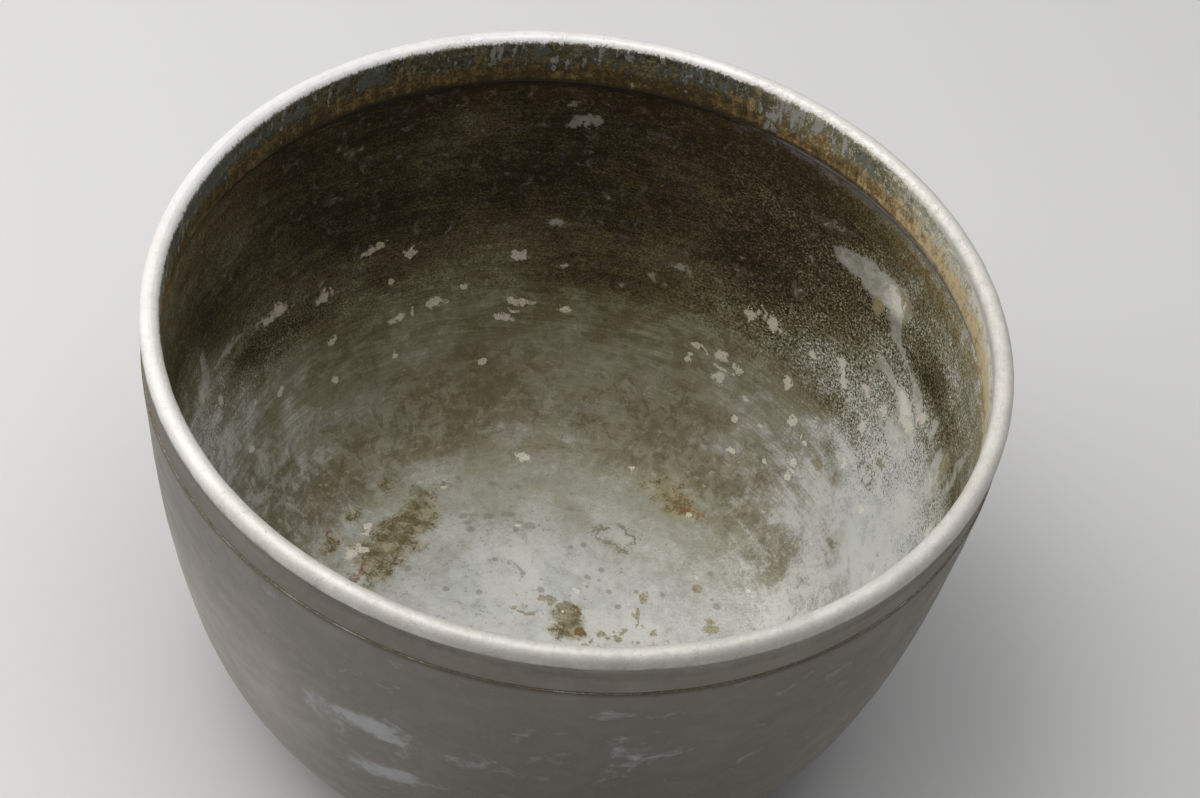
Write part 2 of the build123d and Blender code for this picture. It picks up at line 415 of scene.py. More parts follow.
flecks = [
    (61.5, 49.5, 1.6, 1.2, 40),
    (57.0, 48.8, 1.7, 1.3, -50),
    (64.2, 61.2, 1.6, 0.9),
    (63.2, 65.5, 1.2, 1.0),
    (69.2, 61.8, 0.8, 0.7),
    (70.0, 64.8, 0.7, 0.6),
    (60.0, 62.0, 0.8, 0.7, 20),
    (50.3, 57.8, 0.9, 1.2, 20),
    (46.2, 64.0, 0.9, 1.1, 20),
    (56.8, 66.8, 0.7, 0.6),
    (57.0, 71.5, 0.6, 0.6),
    (51.8, 69.5, 0.7, 0.6),
    (54.8, 77.5, 0.8, 0.7),
    (42.0, 70.5, 1.0, 1.0, 30),
    (41.2, 73.5, 0.7, 0.8),
    (42.2, 45.5, 1.1, 0.8, -35),
    (48.0, 49.0, 0.7, 0.7),
    (40.2, 48.5, 1.1, 1.0, -20),
    (35.2, 45.5, 1.1, 0.9, -30),
    (32.5, 52.5, 0.7, 1.2),
    (32.2, 61.0, 0.8, 1.2, 20),
    (22.8, 63.0, 0.7, 0.9),
    (9.2, 64.8, 0.8, 1.0),
    (30.2, 44.8, 1.1, 1.1),
    (25.2, 41.0, 1.0, 1.3),
    (2.5, 42.0, 1.0, 1.5),
    (27.0, 38.4, 1.5, 1.1, -20),
    (22.8, 40.6, 1.0, 1.6),
    (38.2, 23.0, 1.2, 0.8),
    (20.5, 35.6, 0.8, 1.6),
    (36.4, 25.6, 1.4, 0.9),
    (47.5, 74.8, 0.5, 0.4),
    (42.0, 65.5, 0.5, 0.5),
    (73.2, 90.2, 0.5, 0.4),
    (138.8, 49.0, 1.7, 1.1, 20),
    (148.3, 45.6, 1.3, 1.5, 30),
    (151.5, 46.0, 0.8, 0.7),
    (139.5, 68.2, 0.8, 0.9),
    (151.8, 62.8, 1.1, 0.6, 30),
    (158.2, 60.2, 0.6, 0.8),
    (167.0, 51.5, 0.8, 1.3, 15),
    (171.8, 45.5, 0.8, 1.6, 10),
    (163.0, 67.2, 0.7, 0.7),
    (125.0, 60.2, 1.3, 0.7, 12),
    (138.5, 59.5, 1.0, 0.7, 15),
    (126.0, 68.2, 0.7, 0.7),
    (117.8, 58.8, 2.1, 1.0, 14),
    (102.2, 60.2, 1.9, 0.8),
    (105.2, 63.8, 2.0, 0.7, -12),
    (94.2, 61.5, 1.1, 0.6),
    (103.0, 49.8, 1.7, 0.8, -10),
    (127.7, 43.0, 2.2, 0.7, 10),
    (122.0, 46.4, 1.1, 0.9),
    (125.7, 51.8, 0.6, 0.7),
    (108.8, 73.0, 0.7, 0.6),
    (112.0, 56.2, 0.5, 0.5),
    (95.0, 51.8, 0.7, 0.5),
    (130.0, 43.6, 1.3, 0.5, 10),
    (100.2, 92.8, 1.1, 0.9),
    (103.2, 110.0, 0.7, 0.3),
    (122.8, 97.5, 0.6, 0.4),
    (148.8, 97.5, 0.8, 0.4),
    (159.2, 99.0, 2.2, 1.3),
    (149.0, 97.2, 1.3, 0.6),
    (156.6, 100.3, 0.9, 0.5),
    (63.2, 123.2, 0.8, 0.4),
    (58.0, 129.2, 0.3, 0.3),
    (54.2, 92.8, 0.7, 0.6, 20),
    (35.8, 101.8, 0.6, 0.3),
    (26.5, 93.8, 0.4, 0.4),
    (210.0, 50.0, 1.5, 1.0),
    (238.0, 58.0, 1.2, 0.8),
    (265.0, 47.0, 1.6, 1.0),
    (292.0, 61.0, 1.1, 0.9),
    (318.0, 52.0, 1.4, 0.9),
    (342.0, 64.0, 1.0, 0.8),
]
crumbs = [
    (82.0, 128.0, 1.4, 0.9, 20),
    (77.0, 128.2, 0.6, 0.9),
    (100.5, 132.2, 1.1, 0.5),
    (124.5, 130.2, 0.5, 0.4),
    (15.8, 125.2, 0.7, 1.0),
    (10.0, 122.0, 0.7, 0.6),
    (18.0, 120.2, 0.4, 0.7),
    (14.0, 114.8, 0.8, 1.0),
    (24.5, 117.0, 1.0, 0.45),
    (8.5, 118.0, 0.35, 0.35),
    (35.2, 113.8, 2.2, 0.8, -40),
    (18.5, 103.2, 0.9, 1.0),
    (15.0, 103.5, 0.9, 1.5),
    (32.2, 103.0, 0.9, 0.7),
    (357.0, 128.0, 1.0, 0.6),
    (40.0, 28.5, 1.2, 1.5),
    (33.8, 24.0, 0.9, 1.9),
    (36.2, 21.5, 1.3, 0.8),
    (9.0, 32.5, 2.0, 3.4),
    (25.0, 53.0, 1.2, 0.6),
    (37.0, 66.5, 1.6, 1.0),
]
dots = [
    (109.2, 99.0, 0.9, 0.8),
    (102.2, 100.0, 0.7, 0.6),
    (131.8, 99.5, 0.7, 0.6),
    (122.2, 105.5, 0.8, 0.6),
    (113.0, 107.0, 1.5, 0.8),
    (106.2, 107.0, 1.0, 0.6),
    (122.2, 109.2, 0.9, 0.8),
    (98.8, 110.0, 1.4, 0.8),
    (119.0, 117.8, 0.7, 0.5),
    (110.0, 119.2, 0.8, 0.6),
    (107.8, 120.5, 0.6, 0.5),
    (104.5, 122.2, 0.6, 0.6),
    (155.2, 109.5, 0.8, 0.7),
    (154.5, 118.2, 0.6, 0.6),
    (142.0, 123.5, 0.7, 0.6),
    (129.8, 96.2, 1.0, 1.2),
    (24.0, 101.0, 0.8, 0.7),
    (34.0, 110.0, 0.8, 0.7),
    (63.8, 119.0, 0.7, 0.5),
    (35.8, 98.8, 0.6, 0.5),
    (47.8, 118.8, 0.6, 0.5),
    (40.5, 114.2, 0.6, 0.6),
    (91.0, 60.0, 0.7, 0.5),
    (152.0, 59.4, 0.7, 0.5),
    (155.0, 61.2, 0.6, 0.5),
    (85.0, 104.0, 0.7, 0.6),
    (75.0, 112.0, 0.6, 0.6),
    (90.0, 126.0, 0.7, 0.7),
    (250.0, 118.0, 0.9, 0.8),
    (310.0, 108.0, 0.8, 0.7),
    (220.0, 104.0, 0.9, 0.7),
]
rings = [
    (141.8, 85.8, 3.1, 2.9, 10),
    (66.0, 106.8, 4.7, 3.4, 10),
    (26.7, 58.0, 3.2, 2.6),
    (250.0, 96.0, 3.4, 2.8, 15),
]
paint(bowl, "fleck", marks(flecks))
paint(bowl, "crumb", marks(crumbs))
paint(bowl, "dot", marks(dots))
paint(bowl, "ring", marks(rings))


class Finish:
    """A metal's finish, laid on in nodes over the piece's own coordinates."""

    def __init__(self, name):
        self.metal = bpy.data.materials.new(name)
        self.metal.use_nodes = True
        self.nodes = self.metal.node_tree.nodes
        self.shader = self.nodes["Principled BSDF"]
        self.spot = self.nodes.new("ShaderNodeTexCoord").outputs["Object"]

    def lay(self, socket, value):
        """Sets a socket, or links it where the value comes from another node."""
        if isinstance(value, bpy.types.NodeSocket):
            self.metal.node_tree.links.new(value, socket)
        else:
            socket.default_value = value

    def sum(self, how, first, second=0.0, third=0.0):
        node = self.nodes.new("ShaderNodeMath")
        node.operation = how
        for socket, value in zip(node.inputs, (first, second, third)):
            self.lay(socket, value)
        return node.outputs[0]

    def field(self, name):
        """A value painted on the mesh."""
        node = self.nodes.new("ShaderNodeAttribute")
        node.attribute_name = name
        return node.outputs["Fac"]

    def cloud(self, size, stretch=(1, 1, 1), detail=4, rough=0.55, swirl=0.0, shift=0.0):
        """Cloudy noise about 0.5. size is that of its large lumps, in mm."""
        mapping = self.nodes.new("ShaderNodeMapping")
        self.lay(mapping.inputs["Vector"], self.spot)
        mapping.inputs["Location"].default_value = (shift, shift, shift)
        mapping.inputs["Scale"].default_value = [part / (size * MM) for part in stretch]
        noise = self.nodes.new("ShaderNodeTexNoise")
        self.lay(noise.inputs["Vector"], mapping.outputs["Vector"])
        noise.inputs["Scale"].default_value = 1
        noise.inputs["Detail"].default_value = detail
        noise.inputs["Roughness"].default_value = rough
        noise.inputs["Distortion"].default_value = swirl
        return noise.outputs["Fac"]

    def dots(self, size, share, soft_edge=0.04, shift=0.0):
        """Round dots on a share of the cells of a net. size is that of a cell, in mm."""
        mapping = self.nodes.new("ShaderNodeMapping")
        self.lay(mapping.inputs["Vector"], self.spot)
        mapping.inputs["Location"].default_value = (shift, shift, shift)
        mapping.inputs["Scale"].default_value = [1 / (size * MM)] * 3
        cells = self.nodes.new("ShaderNodeTexVoronoi")
        self.lay(cells.inputs["Vector"], mapping.outputs["Vector"])
        cells.inputs["Scale"].default_value = 1
        parts = self.nodes.new("ShaderNodeSeparateColor")
        self.lay(parts.inputs["Color"], cells.outputs["Color"])
        chosen = self.step(parts.outputs["Red"], 1 - share, 1 - share + 0.01)
        girth = self.sum("MULTIPLY", parts.outputs["Green"], 0.3)
        near = self.sum("SUBTRACT", girth, cells.outputs["Distance"])
        return self.sum("MULTIPLY", chosen, self.step(near, -soft_edge, soft_edge))

    def step(self, value, low, high, at_low=0.0, at_high=1.0):
        """Smooth step from at_low to at_high as value goes from low to high."""
        node = self.nodes.new("ShaderNodeMapRange")
        node.interpolation_type = "SMOOTHSTEP"
        for name, item in zip(
            ("Value", "From Min", "From Max", "To Min", "To Max"), (value, low, high, at_low, at_high)
        ):
            self.lay(node.inputs[name], item)
        return node.outputs["Result"]

    def crackle(self, size, wander, shift=0.0):
        """How near the lines of a wandering net are, in cells. size is that of a cell, in mm."""
        mapping = self.nodes.new("ShaderNodeMapping")
        self.lay(mapping.inputs["Vector"], self.spot)
        mapping.inputs["Location"].default_value = (shift, shift, shift)
        mapping.inputs["Scale"].default_value = [1 / (size * MM)] * 3
        noise = self.nodes.new("ShaderNodeTexNoise")
        self.lay(noise.inputs["Vector"], mapping.outputs["Vector"])
        noise.inputs["Scale"].default_value = 1.4
        noise.inputs["Detail"].default_value = 4
        noise.inputs["Roughness"].default_value = 0.65
        moved = self.nodes.new("ShaderNodeVectorMath")
        moved.operation = "MULTIPLY_ADD"
        self.lay(moved.inputs[0], noise.outputs["Color"])
        moved.inputs[1].default_value = (wander, wander, wander)
        self.lay(moved.inputs[2], mapping.outputs["Vector"])
        cells = self.nodes.new("ShaderNodeTexVoronoi")
        cells.feature = "DISTANCE_TO_EDGE"
        cells.inputs["Scale"].default_value = 1
        self.lay(cells.inputs["Vector"], moved.outputs["Vector"])
        return cells.outputs["Distance"]

    def around(self, value, *swings):
        """value with pairs of noise and strength added, each noise swinging about 0.5."""
        for noise, strength in swings:
            value = self.sum("MULTIPLY_ADD", noise, strength, value)
            value = self.sum("SUBTRACT", value, 0.5 * strength)
        return value

    def coat(self, amount, under, over):
        """Colour over laid on colour under, by amount."""
        node = self.nodes.new("ShaderNodeMix")
        node.data_type = "RGBA"
        self.lay(node.inputs[0], amount)
        self.lay(node.inputs[6], (*under, 1) if isinstance(under, tuple) else under)
        self.lay(node.inputs[7], (*over, 1) if isinstance(over, tuple) else over)
        return node.outputs[2]

    def tones(self, value, *stops):
        """A colour that runs through the stops, each a place and a colour."""
        node = self.nodes.new("ShaderNodeValToRGB")
        self.lay(node.inputs["Fac"], value)
        ramp = node.color_ramp
        while len(ramp.elements) < len(stops):
            ramp.elements.new(0.5)
        for element, (where, colour) in zip(ramp.elements, stops):
            element.position = where
            element.color = (*colour, 1)
        return node.outputs["Color"]

    def mark(self, name, ragged, cut, soft_edge=0.12, low=0.0):
        """The placed marks of that name: 1 inside their ragged outlines."""
        node = self.nodes.new("ShaderNodeAttribute")
        node.attribute_name = name
        parts = self.nodes.new("ShaderNodeSeparateXYZ")
        self.lay(parts.inputs["Vector"], node.outputs["Vector"])
        level = self.nodes.new("ShaderNodeVectorMath")
        level.operation = "MULTIPLY"
        self.lay(level.inputs[0], node.outputs["Vector"])
        level.inputs[1].default_value = (1, 1, 0)
        length = self.nodes.new("ShaderNodeVectorMath")
        length.operation = "LENGTH"
        self.lay(length.inputs[0], level.outputs["Vector"])
        far = self.around(length.outputs["Value"], (ragged, cut))
        near = self.step(parts.outputs["Z"], 2.6, 2.2)
        return far, self.sum("MULTIPLY", near, self.step(far, 1 + soft_edge, 1 - soft_edge))

    def grain(self, *heights, strength=1.0):
        """Bump from pairs of height and depth in mm."""
        total = 0.0
        for height, depth in heights:
            total = self.sum("MULTIPLY_ADD", height, depth * MM, total)
        bump = self.nodes.new("ShaderNodeBump")
        bump.inputs["Strength"].default_value = strength
        bump.inputs["Distance"].default_value = 1.0
        self.lay(bump.inputs["Height"], total)
        self.lay(self.shader.inputs["Normal"], bump.outputs["Normal"])


tin = Finish("old_tin")
lumps = tin.cloud(22, detail=3)
patches = tin.cloud(8, stretch=(1, 1, 1.8), detail=7, rough=0.66, swirl=0.6, shift=3.1)
streaks = tin.cloud(15, stretch=(1, 1, 9), detail=6, rough=0.66, shift=7.7)
mottle = tin.cloud(2.4, detail=5, rough=0.68, swirl=0.5, shift=1.3)
grit = tin.cloud(0.48, stretch=(1, 1, 1.4), detail=2, rough=0.6, shift=5.9)
scratches = tin.cloud(7, stretch=(1, 1, 18), detail=3, rough=0.6, shift=2.9)
torn = tin.step(patches, 0.46, 0.54)
brushed = tin.step(streaks, 0.44, 0.56)

unevenness = tin.around(
    0.0,
    (lumps, 0.45),
    (torn, 0.05),
    (brushed, 0.05),
    (patches, 0.34),
    (mottle, 0.45),
    (scratches, 0.28),
)
calmer = tin.step(tin.field("down"), 88, 99, 1, 0.35)
tone = tin.sum("MULTIPLY_ADD", unevenness, calmer, tin.field("smoke_and_shade"))
tone = tin.sum("MULTIPLY_ADD", tin.sum("SUBTRACT", grit, 0.5), tin.field("gritty"), tone)
wall_colour = tin.tones(
    tone,
    (0.00, (0.460, 0.455, 0.430)),
    (0.15, (0.370, 0.370, 0.340)),
    (0.30, (0.266, 0.260, 0.205)),
    (0.45, (0.178, 0.169, 0.108)),
    (0.60, (0.108, 0.096, 0.049)),
    (0.75, (0.060, 0.049, 0.020)),
    (0.88, (0.030, 0.022, 0.006)),
    (1.00, (0.013, 0.009, 0.002)),
)
cool = tin.step(tin.around(lumps, (patches, 1.2), (mottle, 0.8)), 0.38, 0.62)
bare_tin = tin.coat(
    tin.sum("MULTIPLY", cool, tin.step(tin.field("olive"), 0.5, -0.1)),
    (0.535, 0.528, 0.490),
    (0.487, 0.495, 0.492),
)
wall_colour = tin.coat(tin.step(tone, 0.0, 0.34), bare_tin, wall_colour)

film = tin.step(tin.field("olive"), -0.1, 0.8, 0, 0.42)
wall_colour = tin.coat(film, wall_colour, (0.236, 0.219, 0.158))
veins = tin.cloud(3.6, detail=5, rough=0.68, swirl=1.0, shift=9.4)
blotch = tin.step(tin.around(patches, (lumps, 1.3), (veins, 1.0), (grit, 0.3)), 0.42, 0.68)
blotch = tin.sum("MULTIPLY", blotch, tin.step(tin.field("olive"), 0.1, 0.9, 0, 0.5))
wall_colour = tin.coat(blotch, wall_colour, (0.118, 0.098, 0.046))
web = tin.sum("MINIMUM", tin.crackle(6.5, 2.0), tin.crackle(4.0, 1.8, shift=4.4))
lace = tin.step(tin.around(web, (mottle, 0.5)), 0.13, 0.01)
lace = tin.sum("MULTIPLY", lace, tin.step(veins, 0.40, 0.54))
pools = tin.step(tin.around(patches, (veins, 2.4), (mottle, 1.4)), 0.46, 0.80)
algae = tin.sum("MAXIMUM", lace, tin.sum("MULTIPLY", pools, 0.5))
soiled = tin.step(tin.around(tin.field("olive"), (lumps, 1.6), (veins, 2.0)), 0.2, 0.9)
algae = tin.sum("MULTIPLY", algae, soiled)
wall_colour = tin.coat(tin.sum("MULTIPLY", algae, 0.45), wall_colour, (0.068, 0.052, 0.017))

rusty = tin.around(tin.field("ochre"), (patches, 2.4), (mottle, 2.0), (streaks, 1.2))
rust_colour = tin.tones(
    tone, (0.2, (0.330, 0.260, 0.120)), (0.55, (0.140, 0.088, 0.026)), (0.9, (0.036, 0.020, 0.004))
)
wall_colour = tin.coat(tin.step(rusty, 0.25, 0.95, 0, 0.7), wall_colour, rust_colour)
smeared = tin.step(tin.around(tin.field("lead"), (mottle, 3.0), (grit, 2.0)), 0.3, 0.8)
wall_colour = tin.coat(tin.sum("MULTIPLY", smeared, 0.6), wall_colour, (0.150, 0.138, 0.138))

chalk = tin.around(tin.field("bloom"), (patches, 3.2), (mottle, 4.0), (grit, 1.2))
chalk = tin.step(chalk, 0.28, 0.62)
chalk_colour = tin.tones(
    tin.around(tin.field("smoke_and_shade"), (mottle, 1.2), (patches, 0.8)),
    (0.2, (0.58, 0.565, 0.51)),
    (0.9, (0.215, 0.205, 0.165)),
)
wall_colour = tin.coat(tin.sum("MULTIPLY", chalk, 0.8), wall_colour, chalk_colour)

mired = tin.around(tin.field("mire"), (patches, 2.0), (mottle, 3.4), (grit, 1.8), (veins, 1.6))
mire_colour = tin.tones(
    tin.around(0.66, (veins, -3.2), (mottle, 3.2), (grit, 1.0)),
    (0.10, (0.290, 0.262, 0.170)),
    (0.55, (0.185, 0.152, 0.078)),
    (1.00, (0.092, 0.066, 0.024)),
)
halo = tin.step(tin.around(tin.field("mire"), (patches, 1.0), (mottle, 1.0)), 0.02, 0.5, 0, 0.55)
wall_colour = tin.coat(halo, wall_colour, (0.270, 0.238, 0.145))
mire = tin.sum("MULTIPLY", tin.step(mired, 0.2, 0.95), tin.step(tin.field("mire"), 0.05, 0.3))
wall_colour = tin.coat(tin.sum("MULTIPLY", mire, 0.9), wall_colour, mire_colour)
rust = tin.step(tin.around(tin.field("rust"), (mottle, 4.0), (grit, 1.6)), 0.35, 0.95)
rust = tin.sum("MULTIPLY", rust, tin.step(tin.field("rust"), 0.1, 0.4))
wall_colour = tin.coat(tin.sum("MULTIPLY", rust, 0.75), wall_colour, (0.170, 0.080, 0.026))

far, dot = tin.mark("dot", mottle, 2.5, soft_edge=0.35)
wall_colour = tin.coat(tin.sum("MULTIPLY", dot, 0.6), wall_colour, (0.17, 0.165, 0.125))
far, crumb = tin.mark("crumb", mottle, 5.0, soft_edge=0.2)
crumb_colour = tin.tones(grit, (0.36, (0.125, 0.095, 0.042)), (0.60, (0.31, 0.27, 0.15)))
wall_colour = tin.coat(tin.sum("MULTIPLY", crumb, 0.8), wall_colour, crumb_colour)
far, ring_spot = tin.mark("ring", mottle, 2.4)
ring_line = tin.step(tin.sum("ABSOLUTE", tin.sum("SUBTRACT", far, 0.82)), 0.20, 0.05)
ring_line = tin.sum("MULTIPLY", ring_line, tin.step(veins, 0.38, 0.50))
ring_line = tin.sum("MULTIPLY", ring_line, ring_spot)
wall_colour = tin.coat(tin.sum("MULTIPLY", ring_line, 0.75), wall_colour, (0.120, 0.102, 0.048))
far, fleck = tin.mark("fleck", tin.cloud(1.5, detail=4, rough=0.72, shift=6.6), 5.2, soft_edge=0.12)
fleck_colour = tin.tones(tin.field("smoke_and_shade"), (0.1, (0.66, 0.63, 0.54)), (0.8, (0.44, 0.40, 0.30)))
fleck = tin.sum("MULTIPLY", fleck, tin.step(grit, 0.30, 0.58, 0.45, 0.95))
wall_colour = tin.coat(fleck, wall_colour, fleck_colour)

fine_dots = tin.sum("MAXIMUM", tin.dots(2.2, 0.16), tin.dots(1.0, 0.14, shift=4.2))
fine_dots = tin.sum("MULTIPLY", fine_dots, tin.step(tin.field("down"), 84, 98))
wall_colour = tin.coat(tin.sum("MULTIPLY", fine_dots, 0.5), wall_colour, (0.14, 0.13, 0.09))

# The outer skin's tone holds painted light and shade by heading as well as staining.
skin = tin.around(tin.field("smoke_and_shade"), (lumps, 0.35), (patches, 0.14), (mottle, 0.12), (grit, 0.08))
skin_colour = tin.tones(
    skin,
    (0.0, (0.400, 0.368, 0.335)),
    (0.5, (0.200, 0.183, 0.158)),
    (1.0, (0.098, 0.088, 0.072)),
)
scuffed = tin.around(tin.field("bloom"), (patches, 5.0), (mottle, 2.4), (lumps, 1.6))
skin_colour = tin.coat(tin.step(scuffed, -0.1, 1.4, 0, 0.85), skin_colour, (0.37, 0.383, 0.383))
inner = tin.field("inner")
tin.lay(tin.shader.inputs["Base Color"], tin.coat(inner, skin_colour, wall_colour))
tin.lay(tin.shader.inputs["Metallic"], tin.step(inner, 0, 1, 0.40, 0.05))
tin.shader.inputs["Specular IOR Level"].default_value = 0.22
inner_rough = tin.step(tin.around(tone, (grit, 0.8)), 0.0, 1.0, 0.55, 0.78)
outer_rough = tin.step(patches, 0.35, 0.65, 0.44, 0.56)
outer_rough = tin.sum("MULTIPLY", tin.step(inner, 1, 0), outer_rough)
tin.lay(tin.shader.inputs["Roughness"], tin.sum("MULTIPLY_ADD", inner, inner_rough, outer_rough))
relief = tin.sum("MULTIPLY", mottle, tin.step(inner, 0, 1, 0.3, 1.0))
tin.grain((relief, 0.08), (grit, 0.04), (torn, 0.015), (fleck, 0.05), (mire, 0.07), (chalk, 0.03))
bowl.data.materials.append(tin.metal)
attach(bowl, "root")
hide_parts("bowl_shell")


# The rim ring: a heavy tin ring with a half-round lip, a straight band inside and a
# cove and a plain strip outside. Its skirt drops into the shell's rebate.
mouth_radius = 75.0 * MM
lip_radius = 1.8 * MM
lip_z = 88.2 * MM
neck_z = 87.2 * MM
bore_radius = 71.4 * MM
cove_mid = Vector((73.9 * MM, 0, 85.5 * MM))
cove_end = Vector((74.3 * MM, 0, 83.8 * MM))
ring_seat_z = 80.8 * MM
skirt_radius = 73.3 * MM
skirt_z = 79.6 * MM


def arc_centre(a, b, c):
    """Centre of the arc through three points of the XZ plane."""
    cross_row = Matrix(((b.x - a.x, b.z - a.z), (c.x - a.x, c.z - a.z)))
    square = lambda p: p.x * p.x + p.z * p.z
    half = Vector((square(b) - square(a), square(c) - square(a))) / 2
    x, z = cross_row.inverted() @ half
    return Vector((x, 0, z))


bpy.ops.mesh.primitive_circle_add(
    vertices=48,
    radius=lip_radius,
    location=(mouth_radius - lip_radius, 0, lip_z),
    rotation=(math.pi / 2, 0, 0),
)
ring = bpy.context.object
ring.name = "mouth_ring"
ring.data.name = "mouth_ring"
bpy.ops.object.transform_apply(location=True, rotation=True, scale=True)
bpy.ops.object.mode_set(mode="EDIT")
pick(ring, "VERT", lambda v: v.co.z < lip_z - 0.01 * MM)
bpy.ops.mesh.delete(type="VERT")


def draw_on(piece, start, corners):
    """Draws the profile on from its end at start, in straight runs through the corners."""
    pick(piece, "VERT", lambda v: (v.co - start).length < 0.01 * MM)
    place = start
    for x, z in corners:
        corner = Vector((x, 0, z))
        bpy.ops.mesh.extrude_region_move(TRANSFORM_OT_translate={"value": corner - place})
        place = corner


cove_start = Vector((mouth_radius, 0, neck_z))
draw_on(ring, Vector((mouth_radius, 0, lip_z)), [(mouth_radius, neck_z)])
cove_centre = arc_centre(cove_start, cove_mid, cove_end)
cove_sweep = (cove_start - cove_centre).angle(cove_end - cove_centre)
pick(ring, "VERT", lambda v: (v.co - cove_start).length < 0.01 * MM)
bpy.ops.mesh.spin(steps=12, angle=cove_sweep, center=cove_centre, axis=(0, 1, 0))
draw_on(
    ring,
    cove_end,
    [
        (cove_end.x, ring_seat_z),
        (skirt_radius, ring_seat_z),
        (skirt_radius, skirt_z),
        (bore_radius, skirt_z),
        (bore_radius, lip_z),
    ],
)
bpy.ops.mesh.select_all(action="SELECT")
bpy.ops.mesh.remove_doubles(threshold=0.001 * MM)
pick(ring, "EDGE", lambda e: e.calc_length() > 5 * MM)
bpy.ops.mesh.subdivide(number_cuts=15)
pick(ring, "EDGE", lambda e: e.calc_length() > 2 * MM)
bpy.ops.mesh.subdivide(number_cuts=5)
lathe(ring, steps=720)
bpy.ops.object.mode_set(mode="OBJECT")
bpy.ops.object.shade_smooth_by_angle(angle=math.radians(35))

x, y, z = places(ring)
reach = np.hypot(x, y)
heading = np.degrees(np.arctan2(y, x))
dent(ring, (z - 82) / 3, 5, 0.16)
band_side = np.clip((73.0 - reach) / 0.8 + 0.5, 0, 1)
paint(ring, "inner", band_side)

# Staining of the band inside: dark olive at the back, bare and chalky on the right.
band_smoke = np.interp(
    heading % 360,
    (0, 14, 26, 40, 55, 75, 130, 160, 178, 200, 270, 330, 360),
    (0.05, 0.10, 0.22, 0.42, 0.60, 0.82, 0.84, 0.76, 0.66, 0.45, 0.5, 0.2, 0.05),
)
# Outside, the cove and strip are painted darker on the left and at the back than at the front: painted
# shade under the lip.
cove_shade = np.interp(
    heading,
    (-180, -160, -142, -127, -110, -90, -70, -37, 0, 180),
    (1.0, 0.95, 0.72, 0.60, 0.50, 0.35, 0.22, 0.15, 0.4, 1.0),
)
paint(ring, "smoke_and_shade", cove_shade + (band_smoke - cove_shade) * band_side)
strokes = np.interp(
    heading, (6, 22, 34, 50, 56, 66, 72, 105, 130), (0.9, 0.8, 0.4, 0.5, 1, 1, 0.1, 0.25, 0.1)
)
paint(ring, "strokes", strokes * band_side)
# How bright the worn lip is: most at the back and on the left. This is partly wear and partly
# painted highlight, with painted shade on the near side.
wear_and_highlight = np.interp(
    heading,
    (-180, -150, -125, -90, -60, -30, 0, 30, 60, 100, 135, 180),
    (0.78, 0.66, 0.44, 0.34, 0.36, 0.44, 0.44, 0.44, 0.64, 0.82, 0.92, 0.80),
)
paint(ring, "wear_and_highlight", wear_and_highlight)
# How far down the outside the bright lip reaches: lowest on the near side and the left, partly wear and
# partly painted light, and only to the lip's middle on the right, painted shade.
wear_and_light_foot = np.interp(
    heading, (-180, -140, -115, -30, 0, 60, 180), (87.8, 87.7, 87.2, 87.1, 88.2, 88.2, 87.8)
)
paint(ring, "wear_and_light_foot", wear_and_light_foot)
black_foot = np.interp(
    heading, (-180, -150, -60, 20, 50, 85, 130, 150, 180), (0.2, 0.5, 0.4, 0.2, 0.7, 0.9, 0.9, 0.35, 0.2)
)
paint(ring, "black_foot", black_foot)

rim = Finish("worn_rim_tin")
axes = rim.nodes.new("ShaderNodeSeparateXYZ")
rim.lay(axes.inputs["Vector"], rim.spot)
level = rim.sum("DIVIDE", axes.outputs["Z"], MM)
lumps = rim.cloud(14, stretch=(1, 1, 0.6), detail=3)
patches = rim.cloud(5, stretch=(1, 1, 1.2), detail=7, rough=0.66, swirl=0.6, shift=2.2)
streaks = rim.cloud(9, stretch=(1, 1, 7), detail=5, rough=0.62, shift=6.1)
drips = rim.cloud(1.5, stretch=(1, 1, 0.24), detail=5, rough=0.66, shift=4.7)
mottle = rim.cloud(1.5, detail=5, rough=0.68, swirl=0.4, shift=8.3)
grit = rim.cloud(0.45, detail=2, shift=0.9)
torn = rim.step(patches, 0.46, 0.54)
inner = rim.field("inner")

tone = rim.around(
    rim.field("smoke_and_shade"),
    (lumps, 0.5),
    (torn, 0.14),
    (streaks, 0.6),
    (drips, 1.3),
    (mottle, 1.3),
    (grit, 0.8),
)
band_colour = rim.tones(
    tone,
    (0.00, (0.600, 0.565, 0.470)),
    (0.20, (0.430, 0.400, 0.300)),
    (0.38, (0.250, 0.224, 0.142)),
    (0.58, (0.140, 0.121, 0.066)),
    (0.78, (0.080, 0.067, 0.032)),
    (1.00, (0.026, 0.018, 0.006)),
)
slate = rim.step(rim.around(lumps, (patches, 1.6), (drips, 1.0)), 0.50, 0.62)
slate = rim.sum("MULTIPLY", slate, rim.step(rim.around(level, (mottle, 8)), 83.4, 85.4))
band_colour = rim.coat(rim.sum("MULTIPLY", slate, 0.6), band_colour, (0.135, 0.145, 0.135))

ochre = rim.step(rim.around(level, (patches, 12), (drips, 8), (mottle, 5)), 85.0, 83.0)
ochre_colour = rim.tones(
    tone, (0.15, (0.46, 0.345, 0.175)), (0.5, (0.205, 0.126, 0.038)), (0.9, (0.056, 0.033, 0.006))
)
band_colour = rim.coat(rim.sum("MULTIPLY", ochre, 0.8), band_colour, ochre_colour)

